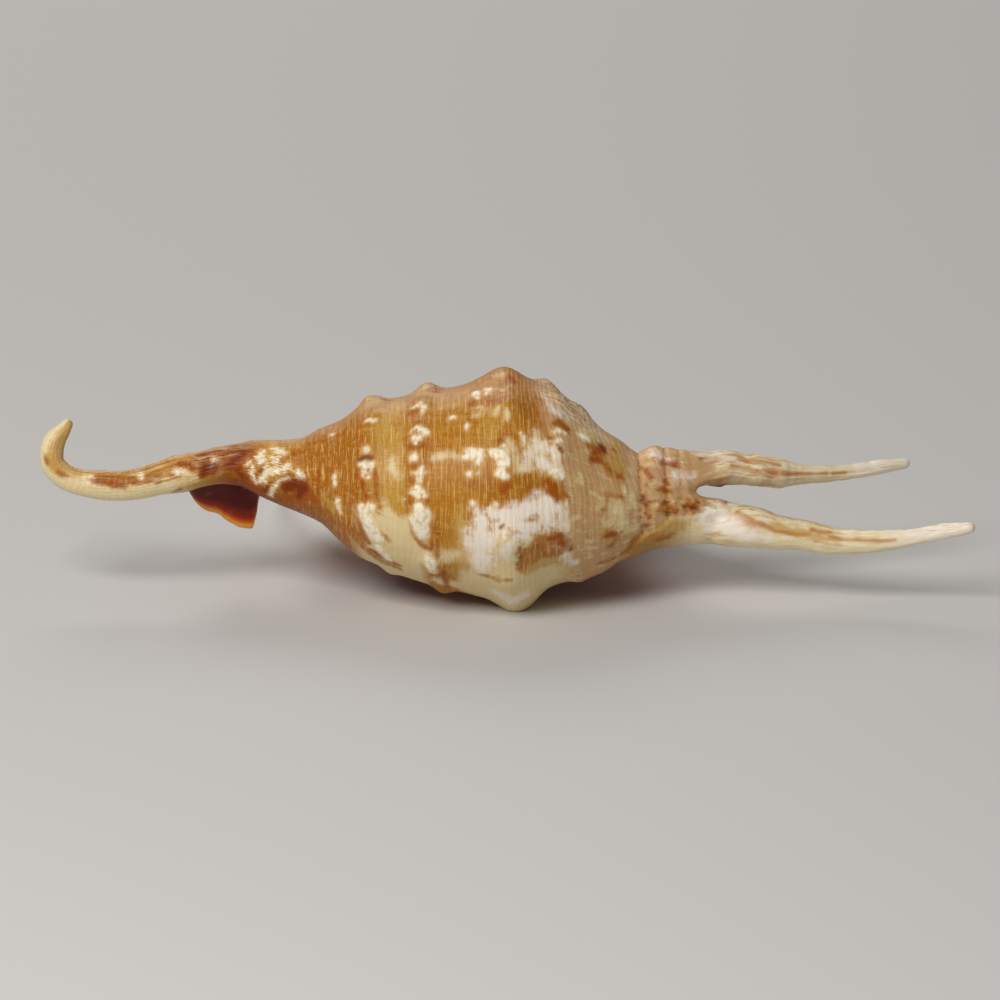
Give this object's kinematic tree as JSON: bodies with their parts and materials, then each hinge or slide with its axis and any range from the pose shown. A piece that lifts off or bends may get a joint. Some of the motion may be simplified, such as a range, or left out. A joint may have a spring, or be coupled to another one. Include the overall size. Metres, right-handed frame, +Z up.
{
  "type": "spider conch shell",
  "caption": "Orange spider conch shell with a knobbed whorl, a hooked canal and a flared lip with long curved digits, lying on its opening.",
  "frame": {"origin": "On the surface the shell rests on, under the middle of its bounding box.", "axes": "+X runs along the shell from the canal's hook to the spire, +Y from the body out to the flared lip, +Z up as it rests on its opening."},
  "size_m": [0.1398, 0.0806, 0.035],
  "materials": {
    "shell": "gloss"
  },
  "bodies": {
    "root": {"shell": "shell"}
  },
  "joints": []
}
